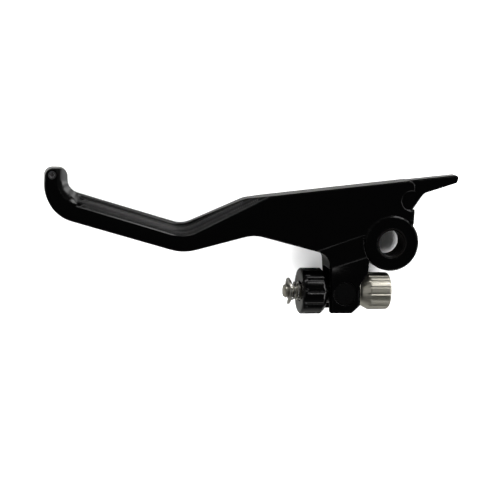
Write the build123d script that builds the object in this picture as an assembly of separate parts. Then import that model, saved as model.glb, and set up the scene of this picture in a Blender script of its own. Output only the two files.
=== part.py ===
from build123d import *
import math
import os

# Clutch lever for a hydraulic master cylinder, with its span adjuster.
#
# Frame: origin at the middle of the pivot bore. +Z runs along the pivot axis, +X along the
# adjuster towards the push rod, +Y away from the handlebar. All sizes are millimetres.

# ---- driving dimensions ----------------------------------------------------------------
PLATE_HALF = 4.9           # half thickness of the finger blade and the plate
ARM_HALF = 7.9             # half thickness of the arm that carries the adjuster
HUB_HALF = 5.5             # half thickness of the pivot hub
TAIL_HALF = 3.2            # half thickness of the stop tail
HUB_R = 11.9
HUB_CHAMFER = 0.7
BUSH_OUTER_R = 6.5
PIVOT_R = 5.5              # the perch's pivot bolt runs in this bore
EDGE = 0.45                # machined chamfer on the lever's outline

FINGER_SLOPE = -16.1       # finger run, degrees, falling from the tip to the valley
RISE_SLOPE = 23.6          # the run that climbs out of the valley to the plate
PLATE_SLOPE = 6.9          # the plate's top edge, which the tail carries on

ROD_X = -20.0              # trunnion axis, measured from the pivot
ROD_Y = -21.3
TRUNNION_R = 5.0
FLAT_X = 4.1               # trunnion flats, from its axis
SLOT_HALF = 5.3            # half the gap between the arm's two ears
NOSE_R = 5.15              # adjuster noses that run between the ears

SPINDLE_R = 3.0
RUN = 0.05                 # radial running clearance of shafts in their bores
KNOB_R = 9.8
THIMBLE_R = 8.0
CLIP_X = -43.1             # middle of the retaining clip
DETENTS = 12
DETENT_RING = 4.1          # radius of the ring of detent dimples
BALL_R = 0.75

os.makedirs("parts", exist_ok=True)


# ---- small helpers ---------------------------------------------------------------------
def on_line(start, slope_deg, x):
    """Point at x on a line through start with the given slope."""
    return (x, start[1] + math.tan(math.radians(slope_deg)) * (x - start[0]))


def prism(face, low, high):
    """Solid between two heights above a face drawn on the XY plane."""
    return Pos(0, 0, low) * extrude(face, high - low)


def disc(radius, x_low, x_high, taper_r=None):
    """Round bar along X between two places, a cone when taper_r is given at its high end."""
    length = x_high - x_low
    bar = Cylinder(radius, length) if taper_r is None else Cone(radius, taper_r, length)
    return Pos((x_low + x_high) / 2, 0, 0) * Rot(0, 90, 0) * bar


def at_rod(shape):
    """Move a shape drawn around the trunnion axis to its place on the arm."""
    return Pos(ROD_X, ROD_Y, 0) * shape


# ---- lever blade -----------------------------------------------------------------------
TIP_LEFT, TIP_RIGHT, TIP_TOP = -146.3, -137.0, 29.8
FINGER_POINT = (-111.5, 13.4)          # on the finger's upper edge
PLATE_POINT = (-38.9, 21.2)            # on the plate's upper edge
VALLEY_X, KNEE_X = -89.2, -63.5
VALLEY_R = 10.0
INNER_TIP_R = 6.0
STEP_X = 9.2                           # right edge of the full-thickness plate
TAIL_X = 29.4
ARM_LEFT = [(-26.5, -18.0), (-26.3, -29.8)]
ARM_RIGHT = [(-16.7, -29.8), (-13.2, -26.4)]
ARM_CORNER_R = [2.0, 0.9, 0.8, 0.8]
WEB_FOOT = (-13.5, -17.0)              # where the arm's right side turns out to the web
ARM_TOP = (-27.5, -5.0)                # inner corner between the arm and the plate
COVE = (8.0, 18.2)                     # milled cove beside the tail
COVE_R = 4.1


def lever_outline():
    """Outline of finger, plate and arm; the hub and the tail are added to it."""
    corners = [
        ((TIP_LEFT, TIP_TOP), 3.4),
        ((TIP_RIGHT, TIP_TOP), 3.2),
        (on_line(FINGER_POINT, FINGER_SLOPE, TIP_RIGHT), INNER_TIP_R),
        (on_line(FINGER_POINT, FINGER_SLOPE, VALLEY_X), VALLEY_R),
        (on_line(PLATE_POINT, PLATE_SLOPE, KNEE_X), 14.0),
        (on_line(PLATE_POINT, PLATE_SLOPE, STEP_X), 2.6),
        ((STEP_X + 0.5, 13.0), 6.0),
        ((STEP_X - 0.4, 4.0), 0.9),
        ((-10.2, -5.5), 2.0),
        ((-10.4, -11.8), 1.2),
        (WEB_FOOT, 3.0),
        *zip(reversed(ARM_LEFT + ARM_RIGHT), reversed(ARM_CORNER_R)),
        (ARM_TOP, 5.0),
        ((-59.5, 3.1), 16.0),
        ((-89.0, -4.9), 20.0),
        ((-146.4, 11.2), 15.0),
    ]
    points = [corner for corner, _ in corners]
    radii = [radius for _, radius in corners]
    return make_face(FilletPolyline(*points, radius=radii, close=True))


def tail_outline():
    """Stop tail that runs on from the plate's top edge, and the cove milled beside it."""
    corners = [
        (on_line(PLATE_POINT, PLATE_SLOPE, -2.0), 0.8),
        (on_line(PLATE_POINT, PLATE_SLOPE, TAIL_X), 1.3),
        ((28.4, 25.9), 1.3),
        ((13.8, 21.2), 3.5),
        ((8.6, 13.4), 0.8),
        ((-2.0, 9.0), 0.8),
    ]
    points = [corner for corner, _ in corners]
    radii = [radius for _, radius in corners]
    return make_face(FilletPolyline(*points, radius=radii, close=True))


RAMP_START = (-33.0, -3.0)             # where the arm starts to thicken
RAMP_TURN = 18.0                       # degrees from +X to the ramp's foot line
RAMP_LENGTH = 9.2


def thickness_envelope():
    """Flat at the plate's thickness, then a ramp on both faces up to the arm's thickness."""
    far = 220.0
    half = [(-far, PLATE_HALF), (0, PLATE_HALF), (RAMP_LENGTH, ARM_HALF), (far, ARM_HALF)]
    mirrored = [(d, -z) for d, z in reversed(half)]
    along = Vector(1, 0, 0).rotate(Axis.Z, RAMP_TURN)
    section = Plane(origin=(RAMP_START[0], RAMP_START[1], 0),
                    x_dir=along.cross(Vector(0, 0, 1)), z_dir=along)
    profile = section * make_face(Polyline(*half, *mirrored, close=True))
    return extrude(profile, far, both=True)


def crest_corner_cutter(path, profile):
    """Sweep a profile, drawn as (depth inwards from the crest, height), along the crest."""
    start = path @ 0
    heading = path % 0
    inwards = heading.cross(Vector(0, 0, 1))
    section = Plane(origin=(start.X, start.Y, 0), x_dir=inwards, z_dir=heading)
    return sweep(section * profile, path=path)


def grip_profile():
    """Three shallow scallops from the flat face down to the narrow top of the finger."""
    steps = [(5.3, 0.0), (3.2, 0.75), (1.4, 1.75), (0.0, 3.2)]
    edges = []
    for (d0, z0), (d1, z1) in zip(steps, steps[1:]):
        middle = ((d0 + d1) / 2 + 0.03, PLATE_HALF - (z0 + z1) / 2 - 0.16)
        edges.append(ThreePointArc((d0, PLATE_HALF - z0), middle, (d1, PLATE_HALF - z1)))
    top = PLATE_HALF + 1.0
    outside = Polyline((0.0, PLATE_HALF - steps[-1][1]), (-1.2, PLATE_HALF - steps[-1][1] - 0.9),
                       (-1.2, top), (5.3, top), (5.3, PLATE_HALF))
    return make_face(Curve() + edges + outside)


def grip_path():
    """Crest of the finger: along the finger, round the valley and out over the knee."""
    valley = Vector(*on_line(FINGER_POINT, FINGER_SLOPE, VALLEY_X))
    begin = Vector(*on_line(FINGER_POINT, FINGER_SLOPE, -132.2))
    out_slope = math.radians(RISE_SLOPE + 2.6)
    end = valley + Vector(math.cos(out_slope), math.sin(out_slope)) * 46
    return FilletPolyline(begin, valley, end, radius=VALLEY_R)


def rim_edges(body, half):
    """Edges where the flat faces at a half thickness meet the upright walls."""
    faces = [face for face in body.faces() if abs(face.normal_at().Z) > 0.9]
    edges = [edge for face in faces for edge in face.edges()]
    return [edge for edge in edges
            if edges.count(edge) == 1 and abs(abs((edge @ 0.5).Z) - half) < 1e-4]


def arm_bevel_path():
    """Edge of the arm from its left side, round its foot and up its right side."""
    corners = ARM_LEFT + ARM_RIGHT
    below_fillet = 4.2
    slope = (ARM_TOP[0] - ARM_LEFT[0][0]) / (ARM_TOP[1] - ARM_LEFT[0][1])
    start = (ARM_TOP[0] - below_fillet * slope, ARM_TOP[1] - below_fillet)
    return FilletPolyline(start, *corners, WEB_FOOT, radius=ARM_CORNER_R)


def arm_bevel_profile():
    """Bevel cut along the arm's edges."""
    size, spare = 0.8, 0.8
    return make_face(Polyline((size, ARM_HALF + spare), (size, ARM_HALF), (-spare, ARM_HALF
                              - size - spare), (-spare, ARM_HALF + spare), close=True))


def tip_path():
    """Inner side of the hooked tip, down to the start of the grip scallops."""
    corner = Vector(*on_line(FINGER_POINT, FINGER_SLOPE, TIP_RIGHT))
    end = Vector(*on_line(FINGER_POINT, FINGER_SLOPE, -131.4))
    return FilletPolyline(Vector(TIP_RIGHT, TIP_TOP + 2.0), corner, end, radius=INNER_TIP_R)


def tip_profile():
    """Broken edge and wide plain bevel along the inner side of the tip."""
    top = PLATE_HALF + 1.0
    return make_face(Polyline((4.4, top), (4.4, PLATE_HALF), (3.1, PLATE_HALF - 0.65),
                              (0.0, PLATE_HALF - 3.3), (-1.0, PLATE_HALF - 4.15), (-1.0, top),
                              close=True))


TIP_SCREW = (-143.4, 27.0)
TIP_SCREW_R = 1.7
TIP_SCREW_DEEP = 5.0


def lever_blade():
    """Finger, plate, arm, hub and tail, milled from one aluminium billet."""
    body = prism(lever_outline(), -ARM_HALF, ARM_HALF) & thickness_envelope()
    body -= Pos(*COVE, 0) * Cylinder(COVE_R, 3 * ARM_HALF)
    body = chamfer(rim_edges(body, PLATE_HALF), EDGE)
    grip = crest_corner_cutter(grip_path(), grip_profile())
    tip = crest_corner_cutter(tip_path(), tip_profile())
    arm_bevel = crest_corner_cutter(arm_bevel_path(), arm_bevel_profile())
    for cutter in (grip, tip, arm_bevel):
        body -= cutter
        body -= mirror(cutter, Plane.XY)
    spot_gap = 0.6
    spot_face = Cylinder(HUB_R + spot_gap, 3 * ARM_HALF)
    spot_face -= Cylinder(HUB_R + 2 * spot_gap, 2 * PLATE_HALF)
    body -= spot_face
    tail = prism(tail_outline(), -TAIL_HALF, TAIL_HALF)
    tail = chamfer(rim_edges(tail, TAIL_HALF), EDGE)
    hub = chamfer(Cylinder(HUB_R, 2 * HUB_HALF).edges().filter_by(GeomType.CIRCLE), HUB_CHAMFER)
    body = body + tail + hub
    slot_root, slot_foot = 10.4, 12.0
    slot = Box(20, slot_root + slot_foot, 2 * SLOT_HALF)
    body -= at_rod(Pos(0.3, (slot_root - slot_foot) / 2, 0) * slot)
    body -= at_rod(Cylinder(TRUNNION_R + RUN, 3 * ARM_HALF))
    body -= Cylinder(BUSH_OUTER_R, 3 * ARM_HALF)
    body -= Pos(*TIP_SCREW, PLATE_HALF - TIP_SCREW_DEEP / 2 + 0.5) * Cylinder(
        TIP_SCREW_R, TIP_SCREW_DEEP + 1.0)
    return body


# ---- pivot bushes ----------------------------------------------------------------------
BUSH_GAP = 0.4             # grease gap between the two bushes
BUSH_MOUTH = 0.5           # lead-in chamfer of the bore


def pivot_bush():
    """One of two self-lubricating bushes pressed into the hub, drawn as the upper one."""
    length = HUB_HALF - BUSH_GAP / 2
    ring = Cylinder(BUSH_OUTER_R, length) - Cylinder(PIVOT_R, length)
    mouth = ring.edges().filter_by(GeomType.CIRCLE).group_by(Axis.Z)[-1].sort_by(SortBy.RADIUS)[0]
    ring = chamfer(mouth, BUSH_MOUTH)
    return Pos(0, 0, HUB_HALF - length / 2) * ring


# ---- tip screw -------------------------------------------------------------------------
def tip_screw():
    """Small socket screw sunk in the finger's tip."""
    length, head_chamfer = TIP_SCREW_DEEP - 0.6, 0.25
    socket_r, socket_deep, sunk = 0.95, 1.6, 0.15
    screw = chamfer(Cylinder(TIP_SCREW_R, length).edges().group_by(Axis.Z)[-1], head_chamfer)
    screw -= Pos(0, 0, length / 2 - socket_deep) * extrude(RegularPolygon(socket_r, 6),
                                                           socket_deep)
    return Pos(*TIP_SCREW, PLATE_HALF - sunk - length / 2) * screw


# ---- trunnion barrel and its detent balls ----------------------------------------------
def ball_places():
    """The two detent balls sit above and below the spindle, on the knob's side."""
    return [Pos(-FLAT_X, 0, side * DETENT_RING) for side in (-1, 1)]


def trunnion_barrel():
    """Steel cross barrel that swivels in the arm's ears and carries the adjuster."""
    length, end_chamfer = 2 * ARM_HALF - 0.4, 0.4
    barrel = chamfer(Cylinder(TRUNNION_R, length).edges(), end_chamfer)
    flat_length = 2 * SLOT_HALF - 2 * RUN
    for side in (-1, 1):
        barrel -= Pos(side * 2 * FLAT_X, 0, 0) * Box(2 * FLAT_X, 12, flat_length)
    barrel -= disc(SPINDLE_R + RUN, -2 * FLAT_X, 2 * FLAT_X)
    for place in ball_places():
        barrel -= place * Sphere(BALL_R + 0.01)
    return at_rod(barrel)


def detent_balls():
    """Two hardened balls set half deep in the barrel's flat."""
    balls = [at_rod(place * Sphere(BALL_R)) for place in ball_places()]
    return Compound(children=balls)


# ---- adjuster spindle with its fluted thimble -------------------------------------------
NOSE_GAP = 0.02            # face clearance of the noses against the trunnion's flats
THIMBLE_FACE = 7.6         # thimble's shoulder, from the trunnion axis
THIMBLE_END = 20.6
CONE_LENGTH = 4.0
FLUTES = 18
FLUTE_WIRE_R = 0.5         # round cutter of the thimble's narrow flutes
SOCKET_R = 2.5             # tapping size for the push rod's M6 thread
SOCKET_DEEP = 9.0
GROOVE_R = 2.5
CLIP_T = 0.7
SPINDLE_END = -25.3        # far end beyond the clip, from the trunnion axis
KEY_FLAT = 2.5             # half width across the two drive flats


def adjuster_spindle():
    """Steel spindle and fluted thimble turned as one; the push rod screws into its end."""
    thimble = disc(NOSE_R, FLAT_X + NOSE_GAP, THIMBLE_FACE)
    thimble += disc(NOSE_R + 0.6, THIMBLE_FACE, THIMBLE_FACE + CONE_LENGTH, THIMBLE_R)
    barrel = disc(THIMBLE_R, THIMBLE_FACE + CONE_LENGTH, THIMBLE_END)
    barrel = fillet(barrel.edges().group_by(Axis.X)[-1], 1.4)
    thimble += barrel
    flute = disc(FLUTE_WIRE_R, THIMBLE_FACE + 2, THIMBLE_END + 1)
    for turn in range(FLUTES):
        place = Pos(0, 0, THIMBLE_R + 0.12)
        thimble -= Rot(360 / FLUTES * turn, 0, 0) * place * flute
    lead_in = 0.5
    thimble -= disc(SOCKET_R, THIMBLE_END - SOCKET_DEEP, THIMBLE_END + 1)
    thimble -= disc(SOCKET_R, THIMBLE_END - lead_in, THIMBLE_END, SOCKET_R + lead_in)
    rod = disc(SPINDLE_R, SPINDLE_END, FLAT_X + 1)
    rod = chamfer(rod.edges().group_by(Axis.X)[0], 0.6)
    drive_start, drive_end = SPINDLE_END - 1, -FLAT_X - 4.5
    for side in (-1, 1):
        middle = (drive_start + drive_end) / 2
        rod -= Pos(middle, side * (KEY_FLAT + 2), 0) * Box(drive_end - drive_start, 4, 12)
    clip_place = CLIP_X - ROD_X
    groove = disc(SPINDLE_R + 1, clip_place - CLIP_T / 2 - RUN, clip_place + CLIP_T / 2 + RUN)
    rod -= groove - disc(GROOVE_R, clip_place - 1, clip_place + 1)
    return at_rod(thimble + rod)


# ---- adjuster knob ---------------------------------------------------------------------
KNOB_SHOULDER = 7.9        # knob's inner face, from the trunnion axis
KNOB_OUTER = 18.4          # knob's outer face
KNOB_TAPER = 1.7           # length of the taper towards the arm
KNOB_TAPER_R = 8.3         # radius at the taper's inner end
KNOB_RECESS_R = 4.3
KNOB_RECESS_DEEP = 5.6
KNOB_FLUTES = 10
FLUTE_DEEP = 0.45          # how far the knob's grip flutes cut into its rim
FLUTE_R = 2.2


def adjuster_knob():
    """Black fluted knob, driven by the spindle's flats and sprung against the detent balls."""
    taper_start = -KNOB_SHOULDER - KNOB_TAPER
    knob = disc(KNOB_R, -KNOB_OUTER, taper_start)
    knob = chamfer(knob.edges().group_by(Axis.X)[0], 0.5)
    knob += disc(KNOB_R, taper_start, -KNOB_SHOULDER, KNOB_TAPER_R)
    knob += disc(NOSE_R, -KNOB_SHOULDER - 1, -FLAT_X - NOSE_GAP)
    plain_rim = 1.8
    flute = disc(FLUTE_R, -KNOB_OUTER + plain_rim, -KNOB_SHOULDER + 1)
    for turn in range(KNOB_FLUTES):
        place = Pos(0, 0, KNOB_R + FLUTE_R - FLUTE_DEEP)
        knob -= Rot(360 / KNOB_FLUTES * (turn + 0.25), 0, 0) * place * flute
    bore = disc(SPINDLE_R + RUN, -KNOB_OUTER - 1, 0)
    key_end = -FLAT_X - 5.5
    for side in (-1, 1):
        cheek = Pos(key_end - 10, side * (KEY_FLAT + RUN + 2), 0) * Box(20, 4, 12)
        bore -= cheek
    knob -= bore
    knob -= disc(KNOB_RECESS_R, -KNOB_OUTER - 1, -KNOB_OUTER + KNOB_RECESS_DEEP)
    dimple = Pos(-FLAT_X, 0, DETENT_RING) * Sphere(BALL_R + 0.03)
    for turn in range(DETENTS):
        knob -= Rot(360 / DETENTS * turn, 0, 0) * dimple
    return at_rod(knob)


# ---- knob spring, its washer and the retaining clip --------------------------------------
WASHER_T = 0.5
WASHER_R = 4.9
WIRE_R = 0.38
SPRING_R = 3.62            # middle of the wire
SPRING_TURNS = 5


def washer_face():
    """Place of the washer's spring side, from the trunnion axis."""
    return CLIP_X - ROD_X + CLIP_T / 2 + RUN + WASHER_T


def spring_washer():
    """Plain washer between the spring and the retaining clip."""
    face = washer_face()
    return at_rod(disc(WASHER_R, face - WASHER_T, face) - disc(SPINDLE_R + RUN, -30, 0))


def knob_spring():
    """Compression spring between the knob's recess and the washer."""
    low = washer_face() + WIRE_R + 0.02
    high = -KNOB_OUTER + KNOB_RECESS_DEEP - WIRE_R - 0.02
    coil = Helix((high - low) / SPRING_TURNS, high - low, SPRING_R)
    wire = sweep(Plane(origin=coil @ 0, z_dir=coil % 0) * Circle(WIRE_R), path=coil)
    return at_rod(Pos(low, 0, 0) * Rot(0, 90, 0) * wire)


CLIP_R = 5.65
CLIP_MOUTH = 4.3
CLIP_POCKET = (3.05, 1.05) # place and radius of the pockets between the clip's three grips
CLIP_TURN = 25             # degrees the clip happens to be turned on the spindle


def e_clip():
    """Retaining clip with three grips and an open mouth, snapped in the spindle's groove."""
    ring = Circle(CLIP_R) - Circle(GROOVE_R + 0.03)
    ring -= Pos(0, -CLIP_R) * Rectangle(CLIP_MOUTH, 2 * CLIP_R)
    for turn in (40, 140):
        ring -= Rot(0, 0, turn) * Pos(CLIP_POCKET[0], 0) * Circle(CLIP_POCKET[1])
    flat = extrude(ring, CLIP_T / 2, both=True)
    return at_rod(Pos(CLIP_X - ROD_X, 0, 0) * Rot(0, 90, 0) * Rot(0, 0, CLIP_TURN) * flat)


# ---- write every piece -------------------------------------------------------------------
upper_bush = pivot_bush()
pieces = {
    "lever_blade": lever_blade(),
    "pivot_bush_upper": upper_bush,
    "pivot_bush_lower": mirror(upper_bush, Plane.XY),
    "tip_screw": tip_screw(),
    "trunnion_barrel": trunnion_barrel(),
    "detent_balls": detent_balls(),
    "adjuster_spindle": adjuster_spindle(),
    "adjuster_knob": adjuster_knob(),
    "knob_spring": knob_spring(),
    "spring_washer": spring_washer(),
    "e_clip": e_clip(),
}
for name, shape in pieces.items():
    export_step(shape, f"parts/{name}.step")
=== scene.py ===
import bpy
import bmesh
import math
from mathutils import Matrix, Vector


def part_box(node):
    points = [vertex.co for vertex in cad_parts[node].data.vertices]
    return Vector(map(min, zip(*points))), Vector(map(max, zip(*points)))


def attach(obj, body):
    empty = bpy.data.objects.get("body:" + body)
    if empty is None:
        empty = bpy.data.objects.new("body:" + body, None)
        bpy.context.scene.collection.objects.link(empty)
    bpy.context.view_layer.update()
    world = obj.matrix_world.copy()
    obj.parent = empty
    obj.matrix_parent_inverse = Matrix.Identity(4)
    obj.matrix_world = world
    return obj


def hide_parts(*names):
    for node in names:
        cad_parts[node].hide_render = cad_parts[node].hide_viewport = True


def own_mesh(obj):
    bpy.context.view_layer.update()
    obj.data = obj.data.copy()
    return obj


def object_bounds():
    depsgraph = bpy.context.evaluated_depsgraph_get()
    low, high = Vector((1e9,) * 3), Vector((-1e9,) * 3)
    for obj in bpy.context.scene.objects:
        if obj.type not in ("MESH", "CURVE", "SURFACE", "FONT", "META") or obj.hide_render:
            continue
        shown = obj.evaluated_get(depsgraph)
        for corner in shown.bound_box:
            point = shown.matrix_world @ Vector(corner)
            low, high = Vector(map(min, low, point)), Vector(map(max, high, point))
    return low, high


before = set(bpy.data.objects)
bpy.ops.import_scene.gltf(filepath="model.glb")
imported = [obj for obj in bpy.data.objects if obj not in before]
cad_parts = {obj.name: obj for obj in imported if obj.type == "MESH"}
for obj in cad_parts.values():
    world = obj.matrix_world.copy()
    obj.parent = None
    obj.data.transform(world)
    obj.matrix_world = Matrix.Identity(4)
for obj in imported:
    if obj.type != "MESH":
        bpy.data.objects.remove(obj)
cad_low, cad_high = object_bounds()
scene = bpy.context.scene

# ---- studio ------------------------------------------------------------------------------
# The lever lies on a plain white table and is seen from above, a little from the finger's
# side. Four soft boxes light the table from all sides, so hardly any shadow is left, and low
# or narrow strips draw the thin lights along its edges and round pieces.
scene.view_settings.view_transform = "Standard"


def aim(place, target, roll=0.0):
    """Matrix that puts an object at place, looking at target along its own -Z."""
    look = (Vector(target) - Vector(place)).normalized()
    side = look.cross(Vector((0, 1, 0))).normalized()
    upward = side.cross(look)
    turn = Matrix((side, upward, -look)).transposed() @ Matrix.Rotation(roll, 3, "Z")
    return Matrix.Translation(place) @ turn.to_4x4()


camera_data = bpy.data.cameras.new("camera")
camera_data.lens = 105.65
camera_data.clip_start = 0.01
camera = bpy.data.objects.new("camera", camera_data)
camera_place = (-0.174, 0.088, 0.600)
camera_target = (-0.06015, -0.0039, 0.0)
camera_roll = math.radians(1.9)
camera.matrix_world = aim(camera_place, camera_target, camera_roll)
scene.collection.objects.link(camera)
scene.camera = camera

table_z = cad_low[2] - 0.0002
table_reach = 3.0
table_mesh = bpy.data.meshes.new("table_top")
table_mesh.from_pydata([(x * table_reach, y * table_reach, table_z)
                        for x, y in ((-1, -1), (1, -1), (1, 1), (-1, 1))], [], [(0, 1, 2, 3)])
table = bpy.data.objects.new("table_top", table_mesh)
scene.collection.objects.link(table)
white = bpy.data.materials.new("white_table")
white.use_nodes = True
white_shader = white.node_tree.nodes["Principled BSDF"]
white_shader.inputs["Roughness"].default_value = 0.9
table_shine = white.node_tree.nodes.new("ShaderNodeLightPath")
table_tone = white.node_tree.nodes.new("ShaderNodeMix")
table_tone.data_type = "RGBA"
table_tone.inputs["A"].default_value = (0.92, 0.92, 0.92, 1)
table_tone.inputs["B"].default_value = (0.22, 0.22, 0.21, 1)
white.node_tree.links.new(table_shine.outputs["Is Glossy Ray"], table_tone.inputs["Factor"])
white.node_tree.links.new(table_tone.outputs["Result"], white_shader.inputs["Base Color"])
table_mesh.materials.append(white)

light_target = (-0.05, 0.0, 0.0)
for name, place, size, power, role in (
        ("far_fill", (-0.08, 0.80, 0.85), (1.5, 0.5), 19, "table"),
        ("finger_fill", (-0.85, 0.10, 0.85), (0.5, 1.3), 19, "table"),
        ("tail_fill", (0.80, 0.05, 0.85), (0.5, 1.3), 19, "table"),
        ("near_fill", (-0.05, -0.82, 0.85), (1.5, 0.5), 19, "table"),
        ("far_strip", (0.20, 0.88, 0.40), (1.4, 0.10), 4.4, "shine"),
        ("grip_strip", (0.30, 0.735, 0.59), (0.20, 0.14), 1.6, "shine"),
        ("tail_strip", (0.90, -0.10, 0.10), (0.26, 0.56), 3.3, "shine"),
        ("bend_strip", (0.84, 0.32, 0.12), (0.26, 0.60), 3.1, "shine"),
        ("corner_strip", (0.60, 0.66, 0.18), (0.22, 0.80), 3.6, "shine"),
        ("top_strip", (0.19, 0.125, 0.88), (1.0, 0.04), 0.7, "shine"),
        ("finger_strip", (-0.80, 0.10, 0.62), (0.16, 1.0), 1.2, "shine"),
        ("near_strip", (0.25, -0.80, 0.42), (0.9, 0.06), 0.7, "shine")):
    light_data = bpy.data.lights.new(name, "AREA")
    light_data.shape = "RECTANGLE"
    light_data.size, light_data.size_y = size
    light_data.energy = power
    light = bpy.data.objects.new(name, light_data)
    light.matrix_world = aim(place, light_target)
    light.visible_glossy = role == "shine"
    light.visible_diffuse = role == "table"
    scene.collection.objects.link(light)

world = bpy.data.worlds.new("studio_air")
scene.world = world
world.use_nodes = True
air = world.node_tree
sky_place = air.nodes.new("ShaderNodeTexCoord")
sky_height = air.nodes.new("ShaderNodeSeparateXYZ")
sky_ramp = air.nodes.new("ShaderNodeValToRGB")
sky_ramp.color_ramp.elements[0].position = 0.66
sky_ramp.color_ramp.elements[0].color = (0.20, 0.20, 0.20, 1)
sky_ramp.color_ramp.elements[1].position = 0.86
sky_ramp.color_ramp.elements[1].color = (0.05, 0.05, 0.05, 1)
seen = air.nodes.new("ShaderNodeLightPath")
sky_mix = air.nodes.new("ShaderNodeMix")
sky_mix.data_type = "RGBA"
sky_mix.inputs["B"].default_value = (0.95, 0.95, 0.95, 1)
air.links.new(sky_place.outputs["Generated"], sky_height.inputs["Vector"])
air.links.new(sky_height.outputs["Z"], sky_ramp.inputs["Fac"])
air.links.new(sky_ramp.outputs["Color"], sky_mix.inputs["A"])
air.links.new(seen.outputs["Is Camera Ray"], sky_mix.inputs["Factor"])
air.links.new(sky_mix.outputs["Result"], air.nodes["Background"].inputs["Color"])

# ---- lever blade -------------------------------------------------------------------------
# Finger, plate, arm, hub and tail are one milled aluminium billet, 175 mm long, bead
# blasted and anodised black. Every milled edge is broken by hand, so it catches a thin
# line of light. The edges are also coloured lighter, partly for dye worn thin there and
# partly as a painted highlight along them.
edge_break = 0.00007
black_dye = (0.0002, 0.0002, 0.00022, 1)
# Edge colour: dye worn thin, and a painted highlight along the black edges.
thin_dye_and_glint = (0.004, 0.004, 0.0043, 1)


def shader_group(name, inputs, outputs):
    """Empty shader node group with named number inputs and its outputs."""
    group = bpy.data.node_groups.new(name, "ShaderNodeTree")
    for socket, value in inputs.items():
        made = group.interface.new_socket(socket, in_out="INPUT", socket_type="NodeSocketFloat")
        made.default_value = value
    for socket in outputs:
        group.interface.new_socket(socket, in_out="OUTPUT", socket_type="NodeSocketFloat")
    return group, group.nodes.new("NodeGroupInput"), group.nodes.new("NodeGroupOutput")


def wire(tree, *pairs):
    """Link pairs of sockets in a node tree."""
    for start, end in pairs:
        tree.links.new(start, end)


def calculate(tree, operation, first, second=None, clamp=False):
    """Math node on sockets or numbers; gives its output socket."""
    node = tree.nodes.new("ShaderNodeMath")
    node.operation = operation
    node.use_clamp = clamp
    for socket, value in zip(node.inputs, (first, second)):
        if hasattr(value, "links"):
            tree.links.new(value, socket)
        elif value is not None:
            socket.default_value = value
    return node.outputs[0]


# Grain: fine blasted or turned texture. Scale is per metre; Along X and Around X stretch it.
grain, grain_in, grain_out = shader_group(
    "surface_grain", {"Scale": 4000.0, "Along X": 1.0, "Around X": 1.0, "Detail": 3.0},
    ("Height", "Tone"))
grain_place = grain.nodes.new("ShaderNodeTexCoord")
grain_stretch = grain.nodes.new("ShaderNodeCombineXYZ")
grain_scaled = grain.nodes.new("ShaderNodeVectorMath")
grain_scaled.operation = "MULTIPLY"
grain_noise = grain.nodes.new("ShaderNodeTexNoise")
cloud_noise = grain.nodes.new("ShaderNodeTexNoise")
cloud_noise.inputs["Scale"].default_value = 160.0
wire(grain,
     (grain_in.outputs["Along X"], grain_stretch.inputs["X"]),
     (grain_in.outputs["Around X"], grain_stretch.inputs["Y"]),
     (grain_in.outputs["Around X"], grain_stretch.inputs["Z"]),
     (grain_place.outputs["Object"], grain_scaled.inputs[0]),
     (grain_stretch.outputs[0], grain_scaled.inputs[1]),
     (grain_scaled.outputs[0], grain_noise.inputs["Vector"]),
     (grain_in.outputs["Scale"], grain_noise.inputs["Scale"]),
     (grain_in.outputs["Detail"], grain_noise.inputs["Detail"]),
     (grain_place.outputs["Object"], cloud_noise.inputs["Vector"]),
     (grain_noise.outputs["Fac"], grain_out.inputs["Height"]),
     (calculate(grain, "MULTIPLY", grain_noise.outputs["Fac"], cloud_noise.outputs["Fac"]),
      grain_out.inputs["Tone"]))

# Edge wear and glint: a mask that is white on convex edges within Reach, broken up by
# patches. The lighter colour it gives edges is wear, and on black anodising partly a
# painted highlight.
wear_and_glint_gain = 6.0
wear_and_glint, wear_and_glint_in, wear_and_glint_out = shader_group(
    "edge_wear_and_glint", {"Reach": 0.00025, "Amount": 1.0, "Patch Scale": 900.0}, ("Mask",))
wear_and_glint_round = wear_and_glint.nodes.new("ShaderNodeBevel")
wear_and_glint_round.samples = 6
wear_and_glint_true = wear_and_glint.nodes.new("ShaderNodeNewGeometry")
wear_and_glint_dot = wear_and_glint.nodes.new("ShaderNodeVectorMath")
wear_and_glint_dot.operation = "DOT_PRODUCT"
wear_and_glint_place = wear_and_glint.nodes.new("ShaderNodeTexCoord")
wear_and_glint_patch = wear_and_glint.nodes.new("ShaderNodeTexNoise")
wire(wear_and_glint,
     (wear_and_glint_in.outputs["Reach"], wear_and_glint_round.inputs["Radius"]),
     (wear_and_glint_round.outputs["Normal"], wear_and_glint_dot.inputs[0]),
     (wear_and_glint_true.outputs["Normal"], wear_and_glint_dot.inputs[1]),
     (wear_and_glint_place.outputs["Object"], wear_and_glint_patch.inputs["Vector"]),
     (wear_and_glint_in.outputs["Patch Scale"], wear_and_glint_patch.inputs["Scale"]))
turned_off = calculate(wear_and_glint, "SUBTRACT", 1.0, wear_and_glint_dot.outputs["Value"], clamp=True)
strong = calculate(wear_and_glint, "MULTIPLY", calculate(wear_and_glint, "MULTIPLY", turned_off, wear_and_glint_gain),
                   wear_and_glint_in.outputs["Amount"])
wire(wear_and_glint, (calculate(wear_and_glint, "MULTIPLY", strong, wear_and_glint_patch.outputs["Fac"], clamp=True),
            wear_and_glint_out.inputs["Mask"]))
grain_shade = 0.72


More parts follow.
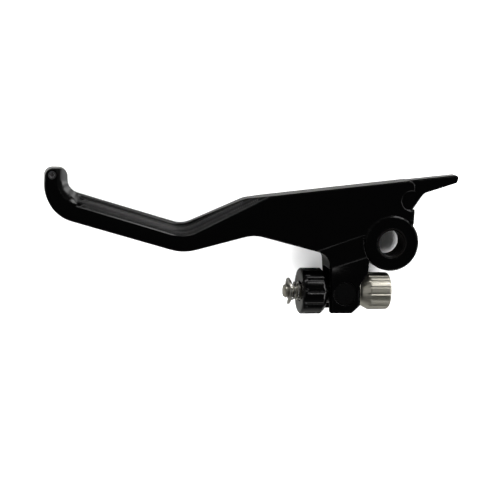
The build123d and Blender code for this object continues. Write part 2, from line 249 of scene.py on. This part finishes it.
def finish_material(name, colour, worn_and_glint_colour, metallic, roughness, roughness_swing, grain_values,
                    bump, wear_and_glint_values, ior=1.5):
    """Solid finish: edges lighter as wear and painted glint, grain in roughness and surface."""
    material = bpy.data.materials.new(name)
    material.use_nodes = True
    tree = material.node_tree
    shader = tree.nodes["Principled BSDF"]
    shader.inputs["Metallic"].default_value = metallic
    shader.inputs["IOR"].default_value = ior
    texture = tree.nodes.new("ShaderNodeGroup")
    texture.node_tree = grain
    for socket, value in grain_values.items():
        texture.inputs[socket].default_value = value
    edges = tree.nodes.new("ShaderNodeGroup")
    edges.node_tree = wear_and_glint
    for socket, value in wear_and_glint_values.items():
        edges.inputs[socket].default_value = value
    tint = tree.nodes.new("ShaderNodeMix")
    tint.data_type = "RGBA"
    tint.inputs["A"].default_value = colour
    tint.inputs["B"].default_value = [channel * grain_shade for channel in colour[:3]] + [1]
    worn_and_glint = tree.nodes.new("ShaderNodeMix")
    worn_and_glint.data_type = "RGBA"
    worn_and_glint.inputs["B"].default_value = worn_and_glint_colour
    relief = tree.nodes.new("ShaderNodeBump")
    relief.inputs["Strength"].default_value = bump[0]
    relief.inputs["Distance"].default_value = bump[1]
    rough = calculate(tree, "MULTIPLY_ADD", texture.outputs["Tone"], roughness_swing)
    rough.node.inputs[2].default_value = roughness
    wire(tree,
         (texture.outputs["Tone"], tint.inputs["Factor"]),
         (tint.outputs["Result"], worn_and_glint.inputs["A"]),
         (edges.outputs["Mask"], worn_and_glint.inputs["Factor"]),
         (worn_and_glint.outputs["Result"], shader.inputs["Base Color"]),
         (rough, shader.inputs["Roughness"]),
         (texture.outputs["Height"], relief.inputs["Height"]),
         (relief.outputs["Normal"], shader.inputs["Normal"]))
    return material


# Black anodising; its lighter edges are partly thin dye and partly a painted highlight.
black_anodised = finish_material(
    "black_anodised", black_dye, thin_dye_and_glint, 0.0, 0.12, 0.10,
    {"Scale": 5200.0, "Detail": 2.0}, (0.16, 0.00002), {"Reach": 0.0002, "Amount": 0.8}, ior=1.24)


def smooth_by_angle(mesh, degrees):
    """Shade a mesh smooth, with its sharper edges kept crisp."""
    mesh.polygons.foreach_set("use_smooth", [True] * len(mesh.polygons))
    mesh.set_sharp_from_angle(angle=math.radians(degrees))


merge_reach = 0.000002
flat_angle = math.radians(0.4)
edge_degrees = 24


def broken_edge_copy(node, break_width, material):
    """Merged copy of a CAD node, its flat faces made whole and its edges softly broken."""
    mesh = bpy.data.meshes.new(node + "_finished")
    shape = bmesh.new()
    shape.from_mesh(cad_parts[node].data)
    bmesh.ops.remove_doubles(shape, verts=shape.verts, dist=merge_reach)
    bmesh.ops.dissolve_limit(shape, angle_limit=flat_angle, verts=shape.verts,
                             edges=shape.edges)
    shape.to_mesh(mesh)
    shape.free()
    if "custom_normal" in mesh.attributes:
        mesh.attributes.remove(mesh.attributes["custom_normal"])
    smooth_by_angle(mesh, edge_degrees)
    mesh.materials.clear()
    mesh.materials.append(material)
    piece = bpy.data.objects.new(node + "_finished", mesh)
    scene.collection.objects.link(piece)
    bevel = piece.modifiers.new("broken_edges", "BEVEL")
    bevel.width = break_width
    bevel.segments = 2
    bevel.limit_method = "ANGLE"
    bevel.angle_limit = math.radians(edge_degrees)
    bevel.use_clamp_overlap = False
    weighted = piece.modifiers.new("flat_faces", "WEIGHTED_NORMAL")
    weighted.keep_sharp = True
    return piece


blade = broken_edge_copy("lever_blade", edge_break, black_anodised)
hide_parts("lever_blade")
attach(blade, "lever")

# ---- grip teeth --------------------------------------------------------------------------
# A slanting cutter leaves fine teeth along two of the three scallops of the finger's grip,
# on both faces. They are 1 mm apart, follow the valley and run out on the rise. Their
# greyer colour, lighter again on their edges, is partly dye rubbed thin by fingers and
# partly a painted sheen; they also catch more light than the flat faces.
worn_teeth_and_sheen = finish_material(
    "worn_teeth_and_sheen", (0.005, 0.005, 0.0049, 1), (0.05, 0.05, 0.049, 1), 0.0, 0.18, 0.12,
    {"Scale": 5200.0, "Detail": 2.0}, (0.16, 0.00002), {"Reach": 0.0002, "Amount": 1.2}, ior=1.6)
finger_point = Vector((-0.1115, 0.0134))
finger_way = Vector((math.cos(math.radians(-16.1)), math.sin(math.radians(-16.1))))
rise_way = Vector((math.cos(math.radians(26.2)), math.sin(math.radians(26.2))))
valley_x = -0.0892
valley_radius = 0.010
plate_half = 0.0049
grip_start_x = -0.1300
tooth_overrun = 1.25


def along_scallop(depth, start_x, rise_length, height):
    """Points of a line at a depth below the crest: finger, round valley, then the rise."""
    corner = finger_point + finger_way * ((valley_x - finger_point.x) / finger_way.x)
    left = Vector((-finger_way.y, finger_way.x))
    last = Vector((-rise_way.y, rise_way.x))
    half_turn = finger_way.angle(rise_way) / 2
    centre = corner - finger_way * valley_radius * math.tan(half_turn) + left * valley_radius
    begin = finger_point + finger_way * ((start_x - finger_point.x) / finger_way.x)
    line = [begin - left * depth]
    steps = 16
    for step in range(steps + 1):
        normal = left.lerp(last, step / steps).normalized()
        line.append(centre - normal * (valley_radius + depth))
    line.append(line[-1] + rise_way * rise_length)
    return [(point.x, point.y, height) for point in line]


def node_maker(tree):
    """Short way to add a node with some of its inputs set or linked."""
    def make(kind, _settings=None, **values):
        node = tree.nodes.new(kind)
        for field, value in (_settings or {}).items():
            setattr(node, field, value)
        for socket, value in values.items():
            place = int(socket[1:]) if socket[0] == "i" and socket[1:].isdigit() else socket
            place = place.replace("_", " ") if isinstance(place, str) else place
            if hasattr(value, "is_linked"):
                tree.links.new(value, node.inputs[place])
            else:
                node.inputs[place].default_value = value
        return node
    return make


tooth_tree = bpy.data.node_groups.new("grip_teeth", "GeometryNodeTree")
tooth_tree.interface.new_socket("Line", in_out="INPUT", socket_type="NodeSocketGeometry")
for socket, value in (("Pitch", 0.00098), ("Tooth Length", 0.0022), ("Tooth Width", 0.00044),
                      ("Tooth Height", 0.00046), ("Slant", 0.8), ("Fall", 0.4), ("Side", 1.0)):
    made = tooth_tree.interface.new_socket(socket, in_out="INPUT", socket_type="NodeSocketFloat")
    made.default_value = value
tooth_tree.interface.new_socket("Material", in_out="INPUT", socket_type="NodeSocketMaterial")
tooth_tree.interface.new_socket("Teeth", in_out="OUTPUT", socket_type="NodeSocketGeometry")
given = tooth_tree.nodes.new("NodeGroupInput").outputs
make = node_maker(tooth_tree)
path = make("GeometryNodeMeshToCurve", Mesh=given["Line"])
spots = make("GeometryNodeCurveToPoints", {"mode": "LENGTH"}, Curve=path.outputs["Curve"],
             Length=given["Pitch"])
heading = spots.outputs["Tangent"]
face_up = make("ShaderNodeCombineXYZ", Z=given["Side"]).outputs[0]
outward = make("ShaderNodeVectorMath", {"operation": "CROSS_PRODUCT"}, i0=(0, 0, 1), i1=heading)


def weigh(vector, weight):
    """Vector times a number, as a node."""
    node = make("ShaderNodeVectorMath", {"operation": "SCALE"}, i0=vector)
    tooth_tree.links.new(weight, node.inputs["Scale"])
    return node.outputs[0]


def combine(first, second, operation="ADD"):
    """Sum or difference of two vectors, as a node."""
    return make("ShaderNodeVectorMath", {"operation": operation}, i0=first, i1=second).outputs[0]


fall_cos = make("ShaderNodeMath", {"operation": "COSINE"}, i0=given["Fall"]).outputs[0]
fall_sin = make("ShaderNodeMath", {"operation": "SINE"}, i0=given["Fall"]).outputs[0]
slant_cos = make("ShaderNodeMath", {"operation": "COSINE"}, i0=given["Slant"]).outputs[0]
slant_sin = make("ShaderNodeMath", {"operation": "SINE"}, i0=given["Slant"]).outputs[0]
across = combine(weigh(outward.outputs[0], fall_cos), weigh(face_up, fall_sin), "SUBTRACT")
surface = combine(weigh(face_up, fall_cos), weigh(outward.outputs[0], fall_sin))
ridge_way = combine(weigh(across, slant_cos), weigh(heading, slant_sin))
turned_to = make("FunctionNodeAxesToRotation", {"primary_axis": "X", "secondary_axis": "Z"},
                 Primary_Axis=ridge_way, Secondary_Axis=surface)
tooth = make("GeometryNodeMeshIcoSphere", Radius=0.5, Subdivisions=2)
tooth_size = make("ShaderNodeCombineXYZ", X=given["Tooth Length"], Y=given["Tooth Width"],
                  Z=given["Tooth Height"])
standing = make("GeometryNodeInstanceOnPoints", Points=spots.outputs["Points"],
                Instance=tooth.outputs["Mesh"], Rotation=turned_to.outputs[0],
                Scale=tooth_size.outputs[0])
real = make("GeometryNodeRealizeInstances", Geometry=standing.outputs[0])
coated = make("GeometryNodeSetMaterial", Geometry=real.outputs[0], Material=given["Material"])
tooth_tree.links.new(coated.outputs[0], tooth_tree.nodes.new("NodeGroupOutput").inputs["Teeth"])


def with_nodes(name, mesh, tree, values):
    """Run a geometry node tree on a mesh and give its result as a plain mesh."""
    carrier = bpy.data.objects.new(name + "_carrier", mesh)
    scene.collection.objects.link(carrier)
    modifier = carrier.modifiers.new("nodes", "NODES")
    modifier.node_group = tree
    sockets = {item.name: item.identifier for item in tree.interface.items_tree
               if item.item_type == "SOCKET" and item.in_out == "INPUT"}
    for socket, value in values.items():
        modifier[sockets[socket]] = value
    bpy.context.view_layer.update()
    depsgraph = bpy.context.evaluated_depsgraph_get()
    result = bpy.data.meshes.new_from_object(carrier.evaluated_get(depsgraph))
    result.name = name
    carrier.modifiers.clear()
    bpy.data.objects.remove(carrier)
    return result


# A row is: depth below the crest, drop below the flat face, fall of the scallop in radians,
# its width, and how far the row runs up the rise.
tooth_rows = ((0.0023, 0.00138, 0.507, 0.00206, 0.022), (0.00425, 0.00048, 0.343, 0.00223, 0.028))
tooth_meshes = []
for depth, drop, fall, width, rise_length in tooth_rows:
    for side in (1, -1):
        points = along_scallop(depth, grip_start_x, rise_length, side * (plate_half - drop))
        line = bpy.data.meshes.new("scallop_line")
        line.from_pydata(points, [(n, n + 1) for n in range(len(points) - 1)], [])
        tooth_meshes.append(with_nodes("teeth", line, tooth_tree, {
            "Tooth Length": width * tooth_overrun, "Fall": fall, "Side": float(side),
            "Material": worn_teeth_and_sheen}))
joined = bmesh.new()
for mesh in tooth_meshes:
    joined.from_mesh(mesh)
grip_mesh = bpy.data.meshes.new("grip_teeth")
joined.to_mesh(grip_mesh)
joined.free()
smooth_by_angle(grip_mesh, 60)
grip_mesh.materials.clear()
grip_mesh.materials.append(worn_teeth_and_sheen)
grip = bpy.data.objects.new("grip_teeth", grip_mesh)
scene.collection.objects.link(grip)
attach(grip, "lever")

# ---- pivot bushes ------------------------------------------------------------------------
# Two thin-walled bushes are pressed into the hub from each side, with a 0.4 mm grease gap
# between them. Each is a 13 mm steel shell with a dark low-friction lining, 11 mm inside.
lining = finish_material(
    "bush_lining", (0.0005, 0.00045, 0.0004, 1), (0.003, 0.0027, 0.0024, 1), 0.0, 0.30, 0.2,
    {"Scale": 3000.0, "Around X": 0.2}, (0.25, 0.00002), {"Reach": 0.0002}, ior=1.2)


def turned(name, rings, sides, material, axis="X", middle=(0.0, 0.0), closed=False, sharp=28):
    """Piece turned about an axis. A ring is (place along it, radius or a function of angle).

    The angle runs from +Z towards +Y on an X axis, and from +X towards +Y on a Z axis. A
    closed profile joins its last ring to the first, and an open one is capped at both ends.
    """
    shape = bmesh.new()
    loops = []
    for along, radius in rings:
        loop = []
        for n in range(sides):
            angle = 2 * math.pi * n / sides
            reach = radius(angle) if callable(radius) else radius
            near, far = reach * math.cos(angle), reach * math.sin(angle)
            if axis == "X":
                loop.append(shape.verts.new((along, middle[1] + far, near)))
            else:
                loop.append(shape.verts.new((middle[0] + near, middle[1] + far, along)))
        loops.append(loop)
    neighbours = list(zip(loops, loops[1:] + loops[:1])) if closed else list(zip(loops, loops[1:]))
    for first, second in neighbours:
        for n in range(sides):
            following = (n + 1) % sides
            shape.faces.new((first[n], first[following], second[following], second[n]))
    if not closed:
        shape.faces.new(loops[0])
        shape.faces.new(loops[-1])
    bmesh.ops.recalc_face_normals(shape, faces=shape.faces)
    mesh = bpy.data.meshes.new(name)
    shape.to_mesh(mesh)
    shape.free()
    smooth_by_angle(mesh, sharp)
    mesh.materials.append(material)
    piece = bpy.data.objects.new(name, mesh)
    scene.collection.objects.link(piece)
    return piece


bush_outer, bush_inner, bush_top, bush_gap = 0.0065, 0.0055, 0.0055, 0.0002
lead_in = 0.0001
seam_deep = 0.00006
for node, side in (("pivot_bush_upper", 1), ("pivot_bush_lower", -1)):
    profile = [(bush_gap, bush_inner), (bush_top - 0.0005, bush_inner),
               (bush_top - 0.00012, bush_inner + 0.00038), (bush_top, bush_inner + 0.00048),
               (bush_top, 0.00602), (bush_top - seam_deep, 0.00606), (bush_top - seam_deep, 0.0061),
               (bush_top, 0.00614), (bush_top, bush_outer - lead_in),
               (bush_top - lead_in, bush_outer), (bush_gap + lead_in, bush_outer),
               (bush_gap, bush_outer - lead_in)]
    bush = turned(node + "_lined", [(side * z, r) for z, r in profile], 128, lining, axis="Z",
                  closed=True)
    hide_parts(node)
    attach(bush, "lever")

# ---- tip screw ---------------------------------------------------------------------------
# A small socket screw, 3.4 mm across, is sunk in the hooked tip. It is plain blackened
# steel whose bright metal shows on the rim and in the hexagon socket.
blued = finish_material(
    "blackened_screw", (0.10, 0.10, 0.102, 1), (0.62, 0.62, 0.62, 1), 1.0, 0.36, 0.15,
    {"Scale": 5000.0}, (0.2, 0.00002), {"Reach": 0.00018, "Amount": 1.6})
screw_low, screw_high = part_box("tip_screw")
screw_middle = ((screw_low[0] + screw_high[0]) / 2, (screw_low[1] + screw_high[1]) / 2)
screw_r = (screw_high[0] - screw_low[0]) / 2
screw_top = screw_high[2]
socket_mouth, socket_foot, socket_deep = 0.00175, 0.00165, 0.0014


def hexagon(across):
    """Radius of a hexagon, by its distance across flats, as a function of angle."""
    def radius(angle):
        return across / 2 / math.cos((angle % (math.pi / 3)) - math.pi / 6)
    return radius


screw_profile = [(screw_low[2], screw_r), (screw_top - 0.0003, screw_r),
                 (screw_top - 0.00008, screw_r - 0.00014), (screw_top, screw_r - 0.0003),
                 (screw_top, 0.00112), (screw_top - 0.0001, hexagon(socket_mouth)),
                 (screw_top - socket_deep, hexagon(socket_foot)),
                 (screw_top - socket_deep - 0.0002, hexagon(0.0008))]
screw = turned("tip_screw_socket_head", screw_profile, 96, blued, axis="Z", middle=screw_middle)
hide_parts("tip_screw")
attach(screw, "lever")

# ---- trunnion barrel and detent balls ----------------------------------------------------
# A 10 mm steel cross barrel, black oxide finished, swivels in the arm's two ears. The
# adjuster runs through it, and two small hardened balls sit in its flat as click stops.
black_oxide = finish_material(
    "black_oxide", (0.0003, 0.0003, 0.0003, 1), (0.004, 0.004, 0.004, 1), 0.0, 0.24, 0.16,
    {"Scale": 2600.0, "Along X": 0.25}, (0.2, 0.00002), {"Reach": 0.0002, "Amount": 0.7}, ior=1.25)
barrel = broken_edge_copy("trunnion_barrel", 0.00005, black_oxide)
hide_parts("trunnion_barrel")
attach(barrel, "trunnion")

bright_steel = finish_material(
    "bright_steel", (0.42, 0.41, 0.385, 1), (0.66, 0.65, 0.62, 1), 1.0, 0.22, 0.2,
    {"Scale": 3500.0, "Along X": 1.6}, (0.15, 0.00002), {"Reach": 0.00012, "Amount": 0.6})
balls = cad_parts["detent_balls"]
balls.data.materials.clear()
balls.data.materials.append(bright_steel)

# ---- adjuster spindle and thimble --------------------------------------------------------
# Spindle and thimble are one turned steel bar. The thimble is 16 mm across with narrow
# grip flutes and an M6 socket for the push rod; the 6 mm spindle has two drive flats and
# the clip's groove. The satin finish is bare steel with fine turning marks.
satin_steel = finish_material(
    "satin_steel", (0.34, 0.325, 0.28, 1), (0.52, 0.50, 0.45, 1), 1.0, 0.33, 0.2,
    {"Scale": 1500.0, "Along X": 5.0, "Around X": 0.2, "Detail": 4.0}, (0.22, 0.00003),
    {"Reach": 0.0002, "Amount": 0.7})
rod_x, rod_y = -0.020, -0.0213
thimble_r, thimble_end = 0.0080, 0.0206
spindle_r, flat_half, groove_r = 0.0030, 0.0025, 0.0025
thimble_flutes = 18
end_round = 0.0014
flute_start = 0.0125
collar_r = 0.00515
thread_pitch, thread_crest, thread_root = 0.001, 0.00252, 0.00298


def fluted(rim, count, cutter_r, deep, first=0.0):
    """Radius of a rim with round flutes, as a function of angle."""
    place = rim + cutter_r - deep

    def radius(angle):
        step = 2 * math.pi / count
        off = (angle - first + step / 2) % step - step / 2
        reach = cutter_r ** 2 - (place * math.sin(off)) ** 2
        return min(rim, place * math.cos(off) - math.sqrt(reach)) if reach > 0 else rim
    return radius


def flatted(round_r, half_width):
    """Radius of a round bar with two flats facing +Y and -Y, as a function of angle."""
    def radius(angle):
        return min(round_r, half_width / max(abs(math.sin(angle)), 1e-6))
    return radius


def lesser(limit, radius):
    """The smaller of a plain radius and a radius function."""
    return lambda angle: min(limit, radius(angle))


thimble_rim = fluted(thimble_r, thimble_flutes, 0.0005, 0.00038)
flats = flatted(spindle_r, flat_half)
groove_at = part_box("e_clip")[0][0] - rod_x + 0.00035
spindle_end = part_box("adjuster_spindle")[0][0] - rod_x
spindle_rings = [
    (spindle_end, 0.0021), (spindle_end + 0.00012, 0.0024),
    (spindle_end + 0.0006, lesser(0.0029, flats)),
    (spindle_end + 0.0007, flats), (groove_at - 0.00042, flats), (groove_at - 0.0004, groove_r),
    (groove_at + 0.0004, groove_r), (groove_at + 0.00042, flats), (-0.0087, flats),
    (-0.0085, spindle_r), (0.0041, spindle_r), (0.00412, 0.00500), (0.00422, collar_r),
    (0.0074, collar_r), (0.0076, 0.0053), (0.00762, 0.00565), (0.0077, 0.00582),
    (0.0096, 0.00688), (0.0109, lesser(0.00761, thimble_rim)),
    (0.0115, lesser(0.00795, thimble_rim)), (0.0117, thimble_rim)]
for step in range(9):
    spindle_rings.append((flute_start + (thimble_end - end_round - flute_start) * step / 8,
                          thimble_rim))
for step in range(1, 8):
    turn = math.pi / 2 * step / 7
    rim = thimble_r - end_round * (1 - math.cos(turn))
    place = thimble_end - end_round * (1 - math.sin(turn))
    spindle_rings.append((place, lesser(rim, thimble_rim)))
spindle_rings += [(thimble_end, 0.0046), (thimble_end - 0.00004, 0.0031),
                  (thimble_end - 0.0005, 0.0026)]
for step in range(8):
    start = thimble_end - 0.0006 - thread_pitch * step
    spindle_rings += [(start, thread_crest), (start - 0.00042, thread_root),
                      (start - 0.00056, thread_root)]
spindle_rings += [(thimble_end - 0.0088, 0.0025), (thimble_end - 0.009, 0.0024)]
spindle = turned("adjuster_spindle_turned", [(rod_x + x, r) for x, r in spindle_rings], 360,
                 satin_steel, middle=(0.0, rod_y))
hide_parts("adjuster_spindle")
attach(spindle, "spindle")

# ---- adjuster knob -----------------------------------------------------------------------
# The turning knob is black anodised aluminium, 19.6 mm across, with ten shallow flutes, a
# recess for its spring and a keyed bore. Its nose runs between the arm's two ears.
knob_r, knob_outer, knob_shoulder, nose_r = 0.0098, -0.0184, -0.0079, 0.00515
recess_r, recess_deep, bore_r = 0.0043, 0.0056, 0.00305
nose_face = -0.00412
knob_rim = fluted(knob_r, 10, 0.0022, 0.00045, first=math.radians(9))
key = flatted(bore_r, 0.00255)
plain_rim = 0.0018
taper_start = knob_shoulder - 0.0017
knob_rings = [(nose_face, bore_r), (nose_face, nose_r - 0.00015), (nose_face - 0.00015, nose_r),
              (knob_shoulder + 0.0002, nose_r), (knob_shoulder, nose_r + 0.0002),
              (knob_shoulder, 0.0080), (knob_shoulder - 0.00016, 0.00832),
              (taper_start + 0.0005, lesser(0.00932, knob_rim)),
              (taper_start + 0.0001, lesser(0.00969, knob_rim)),
              (taper_start - 0.0001, knob_rim)]
flute_from, flute_to = taper_start - 0.0003, knob_outer + plain_rim + 0.0003
for step in range(5):
    knob_rings.append((flute_from + (flute_to - flute_from) * step / 4, knob_rim))
knob_rings += [(knob_outer + plain_rim, knob_r), (knob_outer + 0.0006, knob_r),
               (knob_outer + 0.0005, knob_r - 0.00003), (knob_outer + 0.00005, knob_r - 0.00046),
               (knob_outer, knob_r - 0.0006), (knob_outer, 0.0072), (knob_outer, recess_r + 0.0002),
               (knob_outer + 0.0002, recess_r), (knob_outer + recess_deep, recess_r),
               (knob_outer + recess_deep, key), (-0.0097, key), (-0.0095, bore_r)]
knob = turned("adjuster_knob_fluted", [(rod_x + x, r) for x, r in knob_rings], 240,
              black_anodised, middle=(0.0, rod_y), closed=True)
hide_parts("adjuster_knob")
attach(knob, "knob")

# ---- knob spring -------------------------------------------------------------------------
# A five-turn compression spring of 0.76 mm wire sits in the knob's recess and pushes the
# knob on to its click stops. It is bare spring steel.
spring_tree = bpy.data.node_groups.new("coil_spring", "GeometryNodeTree")
spring_tree.interface.new_socket("Carrier", in_out="INPUT", socket_type="NodeSocketGeometry")
for socket, value in (("Turns", 5.0), ("Coil Radius", 0.0036), ("Length", 0.008),
                      ("Wire Radius", 0.0004)):
    made = spring_tree.interface.new_socket(socket, in_out="INPUT", socket_type="NodeSocketFloat")
    made.default_value = value
spring_tree.interface.new_socket("Place", in_out="INPUT", socket_type="NodeSocketVector")
spring_tree.interface.new_socket("Material", in_out="INPUT", socket_type="NodeSocketMaterial")
spring_tree.interface.new_socket("Spring", in_out="OUTPUT", socket_type="NodeSocketGeometry")
given = spring_tree.nodes.new("NodeGroupInput").outputs
make = node_maker(spring_tree)
coil = make("GeometryNodeCurveSpiral", Resolution=56, Rotations=given["Turns"],
            Start_Radius=given["Coil Radius"], End_Radius=given["Coil Radius"],
            Height=given["Length"])
section = make("GeometryNodeCurvePrimitiveCircle", Resolution=16, Radius=given["Wire Radius"])
drawn = make("GeometryNodeCurveToMesh", Curve=coil.outputs[0],
             Profile_Curve=section.outputs["Curve"], Fill_Caps=True)
laid = make("GeometryNodeTransform", Geometry=drawn.outputs[0], Translation=given["Place"],
            Rotation=(0.0, math.pi / 2, 0.0))
spring_real = make("GeometryNodeRealizeInstances", Geometry=laid.outputs[0])
spring_coated = make("GeometryNodeSetMaterial", Geometry=spring_real.outputs[0],
                     Material=given["Material"])
spring_tree.links.new(spring_coated.outputs[0],
                      spring_tree.nodes.new("NodeGroupOutput").inputs["Spring"])

spring_low, spring_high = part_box("knob_spring")
wire_r = 0.00038
spring_long = spring_high[0] - spring_low[0]
coil_middle = (spring_high[1] - spring_low[1]) / 2 - wire_r
spring_mesh = with_nodes("knob_spring_coil", bpy.data.meshes.new("spring_carrier"), spring_tree, {
    "Coil Radius": coil_middle, "Length": spring_long - 2 * wire_r,
    "Wire Radius": wire_r, "Place": (spring_low[0] + wire_r, rod_y, 0.0),
    "Material": bright_steel})
smooth_by_angle(spring_mesh, 50)
spring = bpy.data.objects.new("knob_spring_coil", spring_mesh)
scene.collection.objects.link(spring)
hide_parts("knob_spring")
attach(spring, "spindle")
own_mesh(spring)

# ---- spring washer and retaining clip ----------------------------------------------------
# A plain washer carries the spring, and a size 5 retaining clip, 11.3 mm across and 0.7 mm
# thick, is snapped in the spindle's groove behind it. Both are stamped, so their edges are
# slightly rolled.
washer_low, washer_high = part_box("spring_washer")
washer_r = (washer_high[1] - washer_low[1]) / 2
roll = 0.00009
washer_bore = spindle_r + 0.00005
washer = turned("spring_washer_stamped", [
    (washer_low[0], washer_bore + 0.0001), (washer_low[0] + roll, washer_bore),
    (washer_high[0] - roll, washer_bore), (washer_high[0], washer_bore + 0.0001),
    (washer_high[0], washer_r - roll), (washer_high[0] - roll, washer_r),
    (washer_low[0] + roll, washer_r), (washer_low[0], washer_r - roll)], 96, bright_steel,
    middle=(0.0, rod_y), closed=True)
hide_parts("spring_washer")
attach(washer, "spindle")

clip_steel = finish_material(
    "clip_steel", (0.24, 0.23, 0.205, 1), (0.50, 0.48, 0.43, 1), 1.0, 0.24, 0.3,
    {"Scale": 1800.0}, (0.3, 0.00003), {"Reach": 0.00015, "Amount": 1.0})
clip = broken_edge_copy("e_clip", 0.00008, clip_steel)
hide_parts("e_clip")
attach(clip, "spindle")
